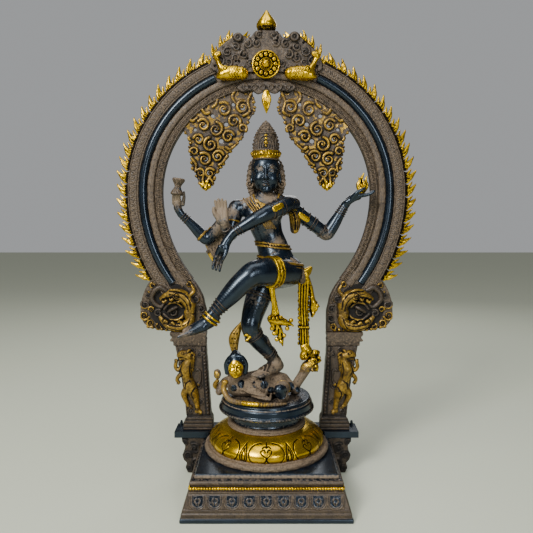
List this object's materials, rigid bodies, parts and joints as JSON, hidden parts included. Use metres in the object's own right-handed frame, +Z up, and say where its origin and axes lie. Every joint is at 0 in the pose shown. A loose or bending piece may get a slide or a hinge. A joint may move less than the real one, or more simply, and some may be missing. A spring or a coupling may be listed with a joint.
{
  "type": "nataraja statue",
  "caption": "Cast brass dancing figure on a lotus plinth, standing in a flaming horseshoe arch that lifts off.",
  "frame": {"origin": "centre of the square plinth's foot, on the floor", "axes": "+Z up, front of the figure towards -Y, +X to the viewer's right"},
  "size_m": [0.5836, 0.286, 0.9],
  "materials": {
    "blue_black_patina": "dark blue-black patina, polished on the high places",
    "umber_patina": "dusty grey-brown antique patina",
    "gilt_brass": "polished yellow brass with dark lines in its recesses",
    "old_gilt": "worn yellow brass under brown patina"
  },
  "bodies": {
    "pedestal": {"plinth": "blue_black_patina", "bead_rail": "gilt_brass", "petal_frieze": "umber_patina", "top_slab": "blue_black_patina", "rim_ring": "umber_patina", "lotus_dome": "gilt_brass", "collar": "umber_patina", "seat_disc": "blue_black_patina", "wing_left": "blue_black_patina", "wing_right": "blue_black_patina", "bracket_left": "blue_black_patina", "bracket_right": "blue_black_patina", "dwarf_body": "umber_patina", "dwarf_head": "gilt_brass", "dwarf_serpent": "old_gilt", "torso": "blue_black_patina", "head": "blue_black_patina", "crown": "umber_patina", "side_locks": "umber_patina", "chest_cords": "old_gilt", "waist_belt": "old_gilt", "hip_cloth": "umber_patina", "arm_front_right": "blue_black_patina", "arm_front_left": "blue_black_patina", "arm_rear_right": "blue_black_patina", "arm_rear_left": "blue_black_patina", "drum": "umber_patina", "hand_flame": "gilt_brass", "arm_scarf": "umber_patina", "arm_bands": "old_gilt", "leg_raised": "blue_black_patina", "leg_standing": "blue_black_patina", "leg_bands": "gilt_brass", "sash_centre": "gilt_brass", "sash_side": "gilt_brass", "sash_rear": "old_gilt"},
    "arch": {"ring_left": "umber_patina", "ring_right": "umber_patina", "tube_left": "blue_black_patina", "tube_right": "blue_black_patina", "flames_left": "gilt_brass", "flames_right": "gilt_brass", "crest_block": "umber_patina", "finial": "gilt_brass", "rosette": "gilt_brass", "crest_heads": "gilt_brass", "valance_left": "old_gilt", "valance_right": "old_gilt", "pendant": "gilt_brass", "makara_left": "gilt_brass", "makara_right": "gilt_brass", "capital_left": "umber_patina", "capital_right": "umber_patina", "pillar_left": "umber_patina", "pillar_right": "umber_patina", "yali_left": "gilt_brass", "yali_right": "gilt_brass"}
  },
  "joints": [
    {"name": "arch_lift", "type": "slide", "parent": "pedestal", "child": "arch", "axis": [0, 0, 1], "range_m": [0, 0.06]}
  ]
}
